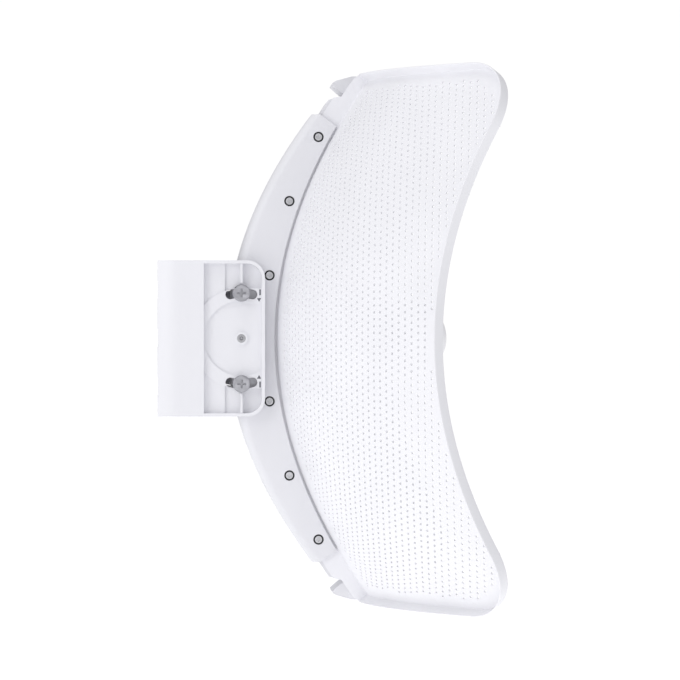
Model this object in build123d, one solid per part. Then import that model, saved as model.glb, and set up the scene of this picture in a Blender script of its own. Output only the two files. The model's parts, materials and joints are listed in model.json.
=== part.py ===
from build123d import *
import os
from math import atan, cos, degrees, pi, radians, sin, sqrt

# Pole-mounted parabolic dish antenna, in millimetres.
# Origin: on the pole's axis, level with the tilt pivot. +X looks where the beam goes, +Z is up.

# ---- reflector ----
focal_length = 125.0          # the dish is x = (y2 + z2) / (4 * focal_length)
vertex_x = 86.0               # where the dish crosses its own axis
dish_half_width = 222.0       # to the bend of the rim's lip
dish_half_height_mid = 177.6  # the same beside the spine
dish_half_height_end = 173.0  # the same at the outer edge
corner_radius = 42.0
lip_depth = 8.6               # rim bent to the rear, square to the dish
lip_root = 0.3                # lip's start, behind the dish's face
lip_inset = 0.15              # lip's outer face, inside the skin's edge
sheet = 1.0
rim_start = 0.05              # lip's end, outside the wing's inner edge
rim_edge_steps = 12
rim_corner_steps = 8
flange_depth = 17.0           # wing's inner flange, bent to the rear
flange_end_depth = 11.9       # past the notch at each end of the flange
flange_notch_z = 166.3
flange_end_z = 179.2

# ---- spine: centre column inside, housing outside ----
flange_outer_y = 32.0         # outer face of the wing's flange
housing_wall = 2.8
layer_gap = 0.2               # between stacked layers of the spine
housing_half_height = 154.3
housing_rear_x = 54.1         # rear face at mid height
housing_rear_k = 418.0        # rear face is x = housing_rear_x + z2 / housing_rear_k
housing_front_set_back = 0.6  # front edge of the cheeks, behind the dish curve
housing_end_flat = 5.7
housing_end_drop = 8.3        # height of the slanted cut at each end
housing_edge_radius = 6.0
column_wall = 2.8
column_front_wall = 2.6
column_end_z = 177.2
column_hollow_z = 150.0        # the channel is open to the rear up to here
end_core_depth = 7.0           # cores in both ends, from the front
column_step_z = 164.5         # the channel's full depth ends here
column_step = (50.0, 168.0)   # forward of the vertex, height
column_end_depth = 10.5
lobe_half_width = 16.5        # hooks at the column's ends
lobe_outline = (
    (58.0, 167.0), (49.5, 168.6), (45.9, 171.2), (40.3, 176.2),
    (40.7, 177.4), (43.4, 178.9), (53.8, 181.8), (61.5, 181.8),
)

# ---- fasteners ----
screw_heights = (42.1, 91.8, 135.0)  # housing screws, where their normals meet the dish curve
screw_set_back = 7.6                 # square to the dish curve
screw_r = 1.6
screw_head_r = 2.45
screw_head_height = 1.8
counterbore_r = 3.6
counterbore_depth = 1.9
screw_end_y = 22.0
insert_r = 2.4
boss_r = 4.4
small_screw_r = 1.25
small_head_r = 2.6
small_head_height = 1.8
thread_gap = 0.03

# ---- tilt joint ----
pivot_x = 62.5
pivot_r = 3.0
bush_r = 4.5
bush_length = 14.0
bolt_orbit = 31.1             # tilt bolts above and below the pivot
bolt_r = 3.0
tilt_limit = 14.0             # degrees each way
running_gap = 0.06
slot_half_width = 3.3
cross_tube_r = 5.6
washer_thickness = 1.2
washer_r = 5.9
cover_inner_r = 26.4          # curved plates under the nuts, round the pivot
cover_outer_r = 34.0
cover_front_angle = 9.0
cover_rear_angle = 24.0
bolt_head_height = 4.0
bolt_head_flat = 5.0          # half the distance across the flats
bolt_flange_r = 6.0
nut_height = 5.0

# ---- pole bracket ----
pole_r = 24.15
bracket_half_height = 53.5
bracket_rear_x = 5.2
bracket_front_x = 78.6
bracket_half_width = 44.0
bracket_corner_r = 12.3
barrel_flat_x = 19.0          # the barrel's side turns inwards behind this
barrel_turn_r = 20.0
barrel_front_x = 36.7         # the barrel ends and the recessed cheek starts
fork_gap = 0.6                # each side of the spine
fork_floor_x = 44.0
cheek_floor_y = 39.0          # recessed face of the cheeks
ring_y = 40.4                 # raised ring that carries the slots
deep_floor_y = 37.8
rim_wall = 2.2
disc_r = 25.8
ring_outer_r = 34.4
deep_pocket_x = 51.2
cradle_wall = 3.2
strap_gap = 3.5
strap_half_height = 6.5
strap_heights = (-34.0, 0.0, 34.0)
strap_land = 0.4              # depth of the strap's land at the tips

# ---- feed ----
feed_tip_x = 207.4
cap_r = 26.6
cap_wall = 2.2
cap_skirt = 13.0
feed_base_r = 27.0
feed_root_r = 25.0
feed_neck_r = 22.5
feed_wall = 2.2
feed_base_x = 86.6
feed_ring_height = 9.0
spigot_r = 19.8
waveguide_r = 18.4
waveguide_wall = 1.4
feed_screw_orbit = 23.4

# ---- radio board, in the lower half of the spine ----
board_top = (72.0, -5.0)      # x, z of the rear face's top edge
board_lean = 15.1             # degrees, bottom forward
board_half_width = 19.4
board_length = 93.0
board_thickness = 1.6
jack_size = (13.5, 16.0, 21.0)     # depth off the board, width, height
socket_size = (8.0, 11.8, 14.0)
socket_inset = 2.0
button_r = 1.75
button_travel = 0.4
button_place = (13.5, -86.0)       # y, height along the board
board_screw_edge = 4.0
board_screw_heights = (-6.0, -65.0)
light_pitch = 6.0
light_height = -64.0
light_r = 1.2

# ---- port door, low on the housing's rear ----
door_half_width = 20.0
door_top_z = -98.0
door_pin_z = -131.0
door_gap = 0.4
door_knuckle_r = 1.6
door_pin_r = 0.8
door_pin_reach = 23.4
door_thickness = 2.4
gasket_thickness = 0.8
grommet_z = -143.0
grommet_r = 6.0
grommet_bore_r = 3.25
grommet_lip = 1.2
grommet_sink = 1.9            # below the rear face, in a counterbore
grommet_wall = 2.3            # left under the counterbore

housing_inner_y = flange_outer_y + layer_gap
housing_outer_y = housing_inner_y + housing_wall
column_half_width = flange_outer_y - sheet - layer_gap
four_f = 4 * focal_length
big = 400.0


# ---------- helpers ----------
def dish_x(z, y=0.0, back=0.0):
    # x of the dish curve at a height and a distance across, moved to the rear by back
    return vertex_x - back + (y * y + z * z) / four_f


def rear_x(z, inside=0.0):
    # x of the housing's rear face, moved inwards by inside
    return housing_rear_x + inside + z * z / housing_rear_k


def parabola(x0, k, z1, z2):
    # x = x0 + z2 / k from z1 to z2, which a quadratic Bezier draws exactly
    return Bezier((x0 + z1 * z1 / k, z1), (x0 + z1 * z2 / k, (z1 + z2) / 2), (x0 + z2 * z2 / k, z2))


def side_face(edges):
    # a face drawn in x and z
    return make_face(edges)


def slab(face, low, high):
    # a face drawn in x and z, as a plate between two values of y
    plane = Plane(origin=(0, high, 0), x_dir=(1, 0, 0), z_dir=(0, -1, 0))
    return extrude(plane * face, amount=high - low)


def rod_y(x, z, r, low, high):
    return slab(Pos(x, z) * Circle(r), low, high)


def rod_x(y, z, r, low, high):
    return Plane(origin=(low, y, z), x_dir=(0, 1, 0), z_dir=(1, 0, 0)) * extrude(Circle(r), amount=high - low)


def block(x1, x2, y1, y2, z1, z2):
    return Pos((x1 + x2) / 2, (y1 + y2) / 2, (z1 + z2) / 2) * Box(x2 - x1, y2 - y1, z2 - z1)


def turned(points):
    # a closed outline of (x, radius) points, turned about the x axis
    return revolve(make_face(Polyline(*points, close=True)), axis=Axis.X)


def behind_dish(back, depth=None):
    # all that lies behind the dish moved back, or only a layer of it, as a turned solid
    r = 300.0
    tip = vertex_x - back
    rim = tip + r * r / four_f
    front = Bezier((tip, 0), (tip, r / 2), (rim, r))
    if depth is None:
        return revolve(make_face([front, Polyline((rim, r), (-60, r), (-60, 0), (tip, 0))]), axis=Axis.X)
    rear = Bezier((tip - depth, 0), (tip - depth, r / 2), (rim - depth, r))
    sides = [Line((tip, 0), (tip - depth, 0)), Line((rim, r), (rim - depth, r))]
    return revolve(make_face([front, rear] + sides), axis=Axis.X)


def mirrored(shape):
    return mirror(shape, about=Plane.XZ)


def joined(shapes):
    result = shapes[0]
    for shape in shapes[1:]:
        result = result + shape
    return result


def group(shapes):
    # separate solids kept in one node
    solids = []
    for shape in shapes:
        solids += shape.solids()
    return Compound(children=[Solid(s.wrapped) for s in solids])


# ---------- reflector ----------
def wing_outline(inner_y):
    # one wing seen from the front, in y and z, on the +Y side
    top_mid, top_end, side = dish_half_height_mid, dish_half_height_end, dish_half_width
    face = make_face(Polyline((inner_y, -top_mid), (side, -top_end), (side, top_end), (inner_y, top_mid), close=True))
    corners = face.vertices().filter_by(lambda v: v.X > side - 1)
    return fillet(corners, corner_radius)


def wing_prism(inner_y):
    return extrude(Plane.YZ * wing_outline(inner_y), amount=big)


def rim_path(inner_y):
    # y, z and the outward direction's angle along the rim: top edge, corner, side, corner, bottom edge
    slope = (dish_half_height_end - dish_half_height_mid) / (dish_half_width - inner_y)
    lean = sqrt(1 + slope * slope)
    corner_y = dish_half_width - corner_radius
    corner_z = dish_half_height_mid + slope * (corner_y - inner_y) - corner_radius * lean
    edge_turn = pi / 2 + atan(slope)
    upper = []
    for i in range(rim_edge_steps):
        y = inner_y + (corner_y + corner_radius * cos(edge_turn) - inner_y) * i / rim_edge_steps
        upper.append((y, dish_half_height_mid + slope * (y - inner_y), edge_turn))
    for i in range(rim_corner_steps + 1):
        turn = edge_turn * (1 - i / rim_corner_steps)
        upper.append((corner_y + corner_radius * cos(turn), corner_z + corner_radius * sin(turn), turn))
    side = []
    for i in range(1, rim_edge_steps):
        side.append((dish_half_width, corner_z * (1 - 2 * i / rim_edge_steps), 0.0))
    lower = [(y, -z, -turn) for y, z, turn in reversed(upper)]
    return upper + side + lower


def rim_lip(inner_y):
    # the rim bent to the rear: four curves along the rim, with ruled faces between them
    rows = []
    for y, z, turn in rim_path(inner_y):
        rear = Vector(-1, 2 * y / four_f, 2 * z / four_f).normalized()
        outward = Vector(2 * (y * cos(turn) + z * sin(turn)) / four_f, cos(turn), sin(turn)).normalized()
        start = Vector(dish_x(z, y), y, z) + rear * lip_root - outward * lip_inset
        reach = rear * (lip_depth - lip_root)
        rows.append((start, start - outward * sheet, start - outward * sheet + reach, start + reach))
    curves = [Spline(*[row[i] for row in rows]) for i in range(4)]
    faces = [Face.make_surface_from_curves(curves[i], curves[(i + 1) % 4]) for i in range(4)]
    faces += [Face(Wire.make_polygon(rows[0], close=True)), Face(Wire.make_polygon(rows[-1], close=True))]
    return Solid(Shell(faces))


def flange_screw_places():
    # x and z of every housing screw, set back square to the dish curve
    places = []
    for height in screw_heights:
        for z in (-height, height):
            slope = 2 * z / four_f
            length = sqrt(1 + slope * slope)
            places.append((dish_x(z) - screw_set_back / length, z + screw_set_back * slope / length))
    return places


def wing_flange():
    # the strip bent to the rear, notched near both ends
    z1, z2, z3 = flange_notch_z, flange_end_z, dish_half_height_mid - sheet / 2
    start = vertex_x + flange_outer_y ** 2 / four_f - sheet / 2
    deep = start - flange_depth
    shallow = start - flange_end_depth
    slope = 2 * z3 / four_f
    reach = (lip_depth - sheet / 2) / sqrt(1 + slope * slope)
    edges = [
        parabola(start, four_f, -z3, z3),
        parabola(deep, four_f, -z1, z1),
        parabola(shallow, four_f, z1, z2),
        parabola(shallow, four_f, -z2, -z1),
    ]
    for sign in (-1, 1):
        front = (start + z3 * z3 / four_f, sign * z3)
        points = [front, (front[0] - reach, sign * (z3 + reach * slope)), (shallow + z2 * z2 / four_f, sign * z2)]
        edges.append(Polyline(*points))
        edges.append(Line((shallow + z1 * z1 / four_f, sign * z1), (deep + z1 * z1 / four_f, sign * z1)))
    plate = slab(side_face(edges), flange_outer_y - sheet, flange_outer_y)
    for x, z in flange_screw_places():
        plate -= rod_y(x, z, screw_r + 0.4, flange_outer_y - 2 * sheet, flange_outer_y + sheet)
    return plate


def wing():
    inner_y = flange_outer_y - sheet
    skin = behind_dish(0, sheet) & wing_prism(inner_y)
    return joined([skin, wing_flange(), rim_lip(inner_y + rim_start)])


def centre_strip():
    half = column_half_width
    strip = behind_dish(0, 0.8) & block(0, big, -half, half, -dish_half_height_mid, dish_half_height_mid)
    return strip - rod_x(0, 0, feed_base_r + 0.3, 0, big)


# ---------- spine ----------
def column_side_face():
    # side view of the column's walls, stepped near both ends
    back = flange_depth + layer_gap
    z1, z2 = column_step_z, column_end_z
    front = vertex_x - 1.0
    edges = [parabola(vertex_x - back, four_f, -z1, z1), parabola(front, four_f, -z2, z2)]
    for sign in (-1, 1):
        points = [(dish_x(z1, 0, back), z1), (vertex_x + column_step[0], column_step[1])]
        points += [(dish_x(z2, 0, column_end_depth), z2), (front + z2 ** 2 / four_f, z2)]
        edges.append(Polyline(*[(x, sign * z) for x, z in points]))
    return side_face(edges)


def column_lobes():
    face = make_face(Polyline(*[(vertex_x + x, z) for x, z in lobe_outline], close=True))
    lobe = slab(face, -lobe_half_width, lobe_half_width)
    return [lobe, mirror(lobe, about=Plane.XY)]


def board_place(shape):
    # from the board's own frame (x off its rear face, z up along it) into the part's frame
    return Pos(board_top[0], 0, board_top[1]) * Rot(0, -board_lean, 0) * shape


def board_screw_spots():
    edge = board_half_width - board_screw_edge
    return [(sign * edge, z) for z in board_screw_heights for sign in (-1, 1)]


def centre_column():
    half = column_half_width
    body = joined([slab(column_side_face(), -half, half)] + column_lobes()) & behind_dish(1.0)
    inner_half = half - column_wall
    back = 1.0 + column_front_wall
    body -= behind_dish(back) & block(-50, big, -inner_half, inner_half, -column_hollow_z, column_hollow_z)
    for sign in (-1, 1):
        low, high = sorted((sign * (column_hollow_z + column_wall), sign * (column_end_z - column_wall)))
        body -= block(0, big, -inner_half, inner_half, low, high) - behind_dish(end_core_depth)
    for x, z in flange_screw_places():
        for sign in (-1, 1):
            low, high = sorted((sign * (screw_end_y - 2.0), sign * half))
            body += rod_y(x, z, boss_r, low, high) & behind_dish(1.0)
    posts = []
    for y, z in board_screw_spots():
        post = board_place(Pos(board_thickness, y, z) * Rot(0, 90, 0) * Cylinder(
            3.0, 14, align=(Align.CENTER, Align.CENTER, Align.MIN)))
        posts.append(post & behind_dish(1.6))
    body = joined([body] + posts)
    for x, z in flange_screw_places():
        for sign in (-1, 1):
            low, high = sorted((sign * (screw_end_y - 0.5), sign * (half + 1)))
            body -= rod_y(x, z, insert_r + 0.01, low, high)
    body -= rod_x(0, 0, spigot_r + 0.2, 0, big)
    for y, z in feed_screw_spots():
        body -= rod_x(y, z, 1.7, 0, big)
    for y, z in board_screw_spots():
        body -= board_place(Pos(0, y, z) * Rot(0, 90, 0) * Cylinder(
            small_screw_r + thread_gap, 2 * board_thickness + 6.4))
    return body


def housing_face():
    z1 = housing_half_height
    z2 = housing_half_height - housing_end_drop
    front = vertex_x - housing_front_set_back
    edges = [parabola(housing_rear_x, housing_rear_k, -z1, z1), parabola(front, four_f, -z2, z2)]
    for sign in (-1, 1):
        points = [(rear_x(z1), z1), (rear_x(z1) + housing_end_flat, z1), (front + z2 * z2 / four_f, z2)]
        edges.append(Polyline(*[(x, sign * z) for x, z in points]))
    return side_face(edges)


def rear_band(outside, inside, half_width, low, high):
    # a curved plate that follows the housing's rear face, between two depths
    edges = [
        parabola(housing_rear_x + outside, housing_rear_k, low, high),
        parabola(housing_rear_x + inside, housing_rear_k, low, high),
        Line((rear_x(low, outside), low), (rear_x(low, inside), low)),
        Line((rear_x(high, outside), high), (rear_x(high, inside), high)),
    ]
    return slab(side_face(edges), -half_width, half_width)


def door_pin_place():
    # the pin's radius of knuckle, square to the rear face, sets it inside the wall
    slope = 2 * door_pin_z / housing_rear_k
    return rear_x(door_pin_z) + door_knuckle_r * sqrt(1 + slope * slope), door_pin_z


def grommet_place(shape):
    # from the grommet's own frame (z outwards) onto the rear face
    slope = degrees(atan(2 * grommet_z / housing_rear_k))
    return Pos(rear_x(grommet_z), 0, grommet_z) * Rot(0, -90 + slope, 0) * shape


def rear_housing():
    outer = slab(housing_face(), -housing_outer_y, housing_outer_y)
    rear_edges = outer.edges().filter_by(
        lambda e: abs(e.center().X - housing_rear_x) < 30 and e.length > 300 and e.center().X < vertex_x - 14)
    outer = fillet(rear_edges, housing_edge_radius)
    cavity_z = housing_half_height - housing_wall
    passage_x = vertex_x - flange_depth - 2 * layer_gap
    cavity = rear_band(housing_wall, 60, housing_inner_y, -cavity_z, cavity_z)
    passage_face = [
        parabola(passage_x, four_f, -200, 200),
        Polyline((passage_x + 200 ** 2 / four_f, 200), (big, 200), (big, -200), (passage_x + 200 ** 2 / four_f, -200)),
    ]
    passage = slab(side_face(passage_face), -housing_inner_y, housing_inner_y)
    body = outer - cavity - passage
    tubes = []
    for z in (-bolt_orbit, 0, bolt_orbit):
        tubes.append(rod_y(pivot_x, z, cross_tube_r, -housing_inner_y - 0.5, housing_inner_y + 0.5))
    pin_x, pin_z = door_pin_place()
    for sign in (-1, 1):
        low, high = sorted((sign * (door_half_width + door_gap), sign * (door_half_width + 4.5)))
        tubes.append(rod_y(pin_x, pin_z, 3.0, low, high) - rear_band(-20, 0.4, 60, -160, -100))
    body = joined([body] + tubes)
    body -= rod_y(pin_x, pin_z, door_pin_r + thread_gap, -door_pin_reach - 0.3, door_pin_reach + 0.3)
    for z in (-bolt_orbit, bolt_orbit):
        body -= rod_y(pivot_x, z, bolt_r + running_gap, -big, big)
    body -= rod_y(pivot_x, 0, bush_r + 0.02, -big, big)
    for x, z in flange_screw_places():
        for sign in (-1, 1):
            outer_y = housing_outer_y
            low, high = sorted((sign * (outer_y - counterbore_depth), sign * (outer_y + 5)))
            body -= rod_y(x, z, counterbore_r, low, high)
            low, high = sorted((sign * (housing_inner_y - 1), sign * (outer_y + 5)))
            body -= rod_y(x, z, screw_r + 0.3, low, high)
    body -= rear_band(-1, housing_wall + 1, door_half_width, door_pin_z, door_top_z)
    body -= rod_y(pin_x, pin_z, door_knuckle_r + door_gap, -door_half_width, door_half_width)
    pad_depth = grommet_sink + grommet_wall
    pad = grommet_place(Pos(0, 0, -pad_depth / 2) * Cylinder(grommet_r + 2.5, pad_depth))
    body += pad & rear_band(0.5, 60, housing_inner_y, -cavity_z, cavity_z)
    body -= grommet_place(Pos(0, 0, 5 - grommet_sink) * Cylinder(grommet_r + 0.35, 10))
    body -= grommet_place(Cylinder(grommet_r - grommet_lip, 24))
    for pin in light_pins(light_r + 0.1, 30):
        body -= pin
    return body


def housing_screw(x, z, side):
    seat = housing_outer_y - counterbore_depth
    head = rod_y(x, z, screw_head_r, seat, seat + screw_head_height)
    shank = rod_y(x, z, screw_r, screw_end_y, seat)
    cross = 0.55
    for dx, dz in ((1.5, cross), (cross, 1.5)):
        top = seat + screw_head_height
        head -= block(x - dx, x + dx, top - 1.0, top + 1, z - dz, z + dz)
    screw = head + shank
    return screw if side > 0 else mirrored(screw)


def housing_screws(side):
    return group([housing_screw(x, z, side) for x, z in flange_screw_places()])


def threaded_inserts():
    parts = []
    for x, z in flange_screw_places():
        insert = rod_y(x, z, insert_r, screw_end_y, column_half_width - 0.4)
        insert -= rod_y(x, z, screw_r + thread_gap, 0, big)
        parts += [insert, mirrored(insert)]
    return group(parts)


# ---------- feed ----------
def feed_screw_spots():
    d = feed_screw_orbit / sqrt(2)
    return [(y, z) for y in (-d, d) for z in (-d, d)]


def cap_centre_x():
    return feed_tip_x - cap_r


def feed_neck_end():
    return cap_centre_x() - 4.0


def feed_tube():
    x0, x1 = feed_base_x, feed_base_x + feed_ring_height
    x2 = feed_neck_end()
    points = [
        (x0 - 3.4, spigot_r - 2.0), (x0 - 3.4, spigot_r), (x0, spigot_r), (x0, feed_base_r), (x0 + 3, feed_base_r),
        (x0 + 5, feed_root_r), (x2, feed_neck_r), (x2, feed_neck_r - feed_wall),
        (x1 + 4, feed_root_r - feed_wall - 0.4), (x1, spigot_r - 0.5), (x1 - 0.01, spigot_r - 2.0),
    ]
    body = turned(points)
    for y, z in feed_screw_spots():
        body -= rod_x(y, z, 1.5 + thread_gap, x0 - 1, x1 - 1.0)
    return body


def feed_cap():
    cx = cap_centre_x()
    skirt = cx - cap_skirt
    inner = cap_r - cap_wall
    outside = [
        Line((skirt, feed_neck_r + 0.6), (skirt, cap_r)),
        Line((skirt, cap_r), (cx, cap_r)),
        RadiusArc((cx, cap_r), (cx + cap_r, 0), cap_r),
        Line((cx + cap_r, 0), (cx + inner, 0)),
        RadiusArc((cx + inner, 0), (cx, inner), -inner),
        Line((cx, inner), (skirt + 2.0, inner)),
        Line((skirt + 2.0, inner), (skirt + 2.0, feed_neck_r + 0.6)),
        Line((skirt + 2.0, feed_neck_r + 0.6), (skirt, feed_neck_r + 0.6)),
    ]
    return revolve(make_face(outside), axis=Axis.X)


def feed_seal():
    x = cap_centre_x() - cap_skirt + 2.1
    inner = feed_neck_r + 0.62
    outer = cap_r - cap_wall - 0.05
    return turned([(x, inner), (x, outer), (x + 1.9, outer), (x + 1.9, inner)])


def dipole_board():
    x = cap_centre_x() + 1.0
    board = rod_x(0, 0, 20.0, x, x + board_thickness)
    return board - rod_x(0, 0, 2.1, x - 1, x + 4)


def splash_plate():
    x = cap_centre_x() + 1.0
    post = rod_x(0, 0, 2.0, x - 1.5, x + 12.5)
    return post + rod_x(0, 0, 16.5, x + 11.5, x + 13.0)


def waveguide_tube():
    x0 = feed_base_x - 1.6
    x1 = cap_centre_x() + 0.9
    tube = rod_x(0, 0, waveguide_r - 1.0, x0, x1) - rod_x(0, 0, waveguide_r - 1.0 - waveguide_wall, x0 - 1, x1 + 1)
    return tube


def coax_lines():
    lines = []
    for y in (-6.0, 6.0):
        lines.append(rod_x(y, -12.0, 1.1, 78.2, cap_centre_x() + 0.8))
        lines[-1] = lines[-1] + rod_x(y, -12.0, 1.9, 76.2, 79.4)
    return group(lines)


def feed_screws():
    parts = []
    for y, z in feed_screw_spots():
        seat = dish_x(feed_screw_orbit, 0, 1.0 + column_front_wall) - 0.9
        head = rod_x(y, z, small_head_r, seat - small_head_height, seat)
        parts.append(head + rod_x(y, z, 1.5, seat - 0.5, feed_base_x + feed_ring_height - 1.6))
    return group(parts)


# ---------- radio ----------
def board_block(x1, x2, y1, y2, z1, z2):
    return board_place(block(x1, x2, y1, y2, z1, z2))


def board_rod(y, z, r, x1, x2):
    return board_place(rod_x(y, z, r, x1, x2))


def radio_board():
    board = board_block(0, board_thickness, -board_half_width, board_half_width, -board_length, 0)
    for y, z in board_screw_spots():
        board -= board_rod(y, z, 1.6, -1, board_thickness + 1)
    return board


def rf_shield_can():
    can = board_block(-4.05, -0.05, -16, 16, -44, -12)
    return can - board_block(-3.6, 1, -15.6, 15.6, -43.6, -12.4)


def thermal_pad():
    return board_block(-4.95, -4.05, -13, 13, -40, -16)


def heat_spreader():
    plate = board_block(-6.45, -4.95, -19, 19, -46, -10)
    fins = [board_block(-6.95, -6.4, y - 0.6, y + 0.6, -46, -10) for y in (-16, -8, 0, 8, 16)]
    return joined([plate] + fins)


def ethernet_jack():
    depth, width, height = jack_size
    low = -board_length
    body = board_block(-depth, -0.05, -width / 2, width / 2, low, low + height)
    sx, sy, sz = socket_size
    return body - board_block(-depth + socket_inset, -depth + socket_inset + sx, -sy / 2, sy / 2, low - 1, low + sz)


def reset_switch():
    y, z = button_place
    body = board_block(-3.5, -0.05, y - 3, y + 3, z - 3, z + 3)
    return body - board_rod(y, z, button_r + running_gap, -5, -0.6)


def reset_button():
    y, z = button_place
    return board_rod(y, z, button_r, -9.5, -0.6 - 1.5 * button_travel)


def light_pins(r, length):
    return [board_rod(y, light_height, r, -length, -0.3) for y in (-light_pitch, 0, light_pitch)]


def status_light_pipe():
    bar = board_block(-3.5, -2.0, -light_pitch - 1.5, light_pitch + 1.5, light_height - 1.4, light_height + 1.4)
    return joined([bar] + light_pins(light_r, 22.6))


def board_screws():
    parts = []
    for y, z in board_screw_spots():
        head = board_rod(y, z, small_head_r, -small_head_height - 0.05, -0.05)
        parts.append(head + board_rod(y, z, small_screw_r, -0.5, board_thickness + 2.6))
    return group(parts)


# ---------- port door ----------
def port_door():
    half = door_half_width - door_gap
    pin_x, pin_z = door_pin_place()
    plate = rear_band(0.1, 0.1 + door_thickness, half, pin_z, door_top_z - door_gap)
    door = plate + rod_y(pin_x, pin_z, door_knuckle_r, -half, half)
    door -= rear_band(-1, 1.3, 7.0, door_top_z - 6.4, door_top_z - 1.6)
    return door - rod_y(pin_x, pin_z, door_pin_r + running_gap, -big, big)


def door_pin():
    pin_x, pin_z = door_pin_place()
    return rod_y(pin_x, pin_z, door_pin_r, -door_pin_reach, door_pin_reach)


def door_gasket():
    start = 0.1 + door_thickness
    low, high = door_pin_z + 4.0, door_top_z - 2.5
    half = door_half_width - 3.0
    ring = rear_band(start, start + gasket_thickness, half, low, high)
    return ring - rear_band(start - 1, start + 2, half - 2.0, low + 2.0, high - 2.0)


def cable_grommet():
    middle = -grommet_sink - grommet_wall / 2
    neck = grommet_r - grommet_lip
    lip = 1.3
    lip_middle = grommet_wall / 2 + 0.4 + lip / 2
    body = Pos(0, 0, middle) * Cylinder(neck - 0.05, grommet_wall + 2 * lip)
    for side in (-1, 1):
        body += Pos(0, 0, middle + side * lip_middle) * Cylinder(grommet_r, lip)
    return grommet_place(body - Cylinder(grommet_bore_r, 30))


# ---------- pole bracket ----------
def bracket_plan():
    # seen from above: the fork's arms in front, the barrel round the pole behind
    turn = barrel_flat_x - bracket_rear_x
    end_y = bracket_half_width - (barrel_turn_r - sqrt(barrel_turn_r ** 2 - turn ** 2))
    edges = [
        Line((bracket_rear_x, -end_y), (bracket_rear_x, end_y)),
        Line((bracket_front_x, -bracket_half_width), (bracket_front_x, bracket_half_width)),
    ]
    for sign in (-1, 1):
        side = sign * bracket_half_width
        arc = RadiusArc((bracket_rear_x, sign * end_y), (barrel_flat_x, side), sign * barrel_turn_r)
        edges += [arc, Line((barrel_flat_x, side), (bracket_front_x, side))]
    return make_face(edges)


def bracket_side_face(inset):
    # seen from the side: round corners in front, small ones behind
    x1, x2 = bracket_rear_x, bracket_front_x - inset
    half = bracket_half_height - inset
    face = make_face(Polyline((x1, -half), (x2, -half), (x2, half), (x1, half), close=True))
    face = fillet(face.vertices().filter_by(lambda v: v.X > x2 - 1), bracket_corner_r - inset)
    return face


def arc_slot(half_width, half_angle, low, high):
    # a slot round the pivot, above it, with round ends
    a = radians(half_angle)
    inner, outer = bolt_orbit - half_width, bolt_orbit + half_width
    ring = Circle(outer) - Circle(inner)
    reach = 3 * outer
    wedge = make_face(Polyline((0, 0), (reach * sin(a), reach * cos(a)), (-reach * sin(a), reach * cos(a)), close=True))
    face = ring & wedge
    for sign in (-1, 1):
        face += Pos(sign * bolt_orbit * sin(a), bolt_orbit * cos(a)) * Circle(half_width)
    return slab(Pos(pivot_x, 0) * face, low, high)


def cheek_recess():
    # the recessed outer face of the +Y cheek, with its ring, ribs and deep corners
    top = bracket_half_width + 5
    pocket = bracket_side_face(rim_wall) & Pos((barrel_front_x + big) / 2, 0) * Rectangle(big - barrel_front_x, big)
    ring = Pos(pivot_x, 0) * (Circle(ring_outer_r) - Circle(disc_r))
    disc = Pos(pivot_x, 0) * Circle(disc_r)
    boss = rod_y(pivot_x, 0, pivot_r + 1.4, cheek_floor_y, ring_y)
    cut = slab(pocket, ring_y, top)
    cut += slab(pocket & disc, cheek_floor_y, top) - boss
    deep = pocket & Pos((deep_pocket_x + big) / 2, 0) * Rectangle(big - deep_pocket_x, big)
    deep = deep - Pos(pivot_x, 0) * Circle(ring_outer_r) - Pos((pivot_x + big) / 2, 0) * Rectangle(
        big - pivot_x, 2 * ring_outer_r)
    cut += slab(deep, deep_floor_y, top)
    shallow = (pocket - ring - disc) & Pos((barrel_front_x + deep_pocket_x) / 2, 0) * Rectangle(
        deep_pocket_x - barrel_front_x, big)
    cut += slab(shallow, cheek_floor_y + 0.4, top)
    rib = block(pivot_x - 0.8, pivot_x + 0.8, deep_floor_y, bracket_half_width - 0.8, bolt_orbit + bolt_flange_r + 0.7, big)
    return cut - rib - mirror(rib, about=Plane.XY)


def strap_cut(z):
    inner = pole_r + cradle_wall
    ring = Cylinder(inner + strap_gap, 2 * strap_half_height) - Cylinder(inner, 2 * strap_half_height)
    land = block(bracket_rear_x - 1, bracket_rear_x + strap_land, -big / 4, big / 4, -strap_half_height, strap_half_height)
    return Pos(0, 0, z) * (ring + land)


def core_pockets():
    # blind pockets in the barrel's ends, between the strap channels' ring and the skin
    skin = 3.2
    reach = pole_r + cradle_wall + strap_gap + skin
    depth = 9.0
    pockets = []
    for sign in (-1, 1):
        for end in (-1, 1):
            area = Pos(25.0, sign * 31.0) * Rectangle(18.0, 17.0)
            area = area - Circle(reach)
            low, high = sorted((end * (bracket_half_height - depth), end * (bracket_half_height + 1)))
            pockets.append(Pos(0, 0, low) * extrude(area, amount=high - low))
    return pockets


def pole_bracket():
    half = bracket_half_height
    body = Pos(0, 0, -half) * extrude(bracket_plan(), amount=2 * half)
    body = body & slab(bracket_side_face(0), -bracket_half_width, bracket_half_width)
    inner_y = housing_outer_y + fork_gap
    body -= block(fork_floor_x, big, -inner_y, inner_y, -big, big)
    body -= Cylinder(pole_r, big)
    for z in strap_heights:
        body -= strap_cut(z)
    for pocket in core_pockets():
        body -= pocket
    web_x = pole_r + cradle_wall + strap_gap + 3.2
    rib = 3.0
    pitch = (2 * half - rib) / 4
    for row in range(4):
        low = -half + rib + row * pitch
        for sign in (-1, 1):
            y1, y2 = sorted((sign * rib / 2, sign * (inner_y - 5.0)))
            body -= block(web_x, fork_floor_x + 1, y1, y2, low, low + pitch - rib)
    recess = cheek_recess()
    body -= recess
    body -= mirrored(recess)
    slot = arc_slot(slot_half_width, tilt_limit + 0.2, -big, big)
    body -= slot
    body -= mirror(slot, about=Plane.XY)
    return body - rod_y(pivot_x, 0, pivot_r + 0.01, -big, big)


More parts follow.
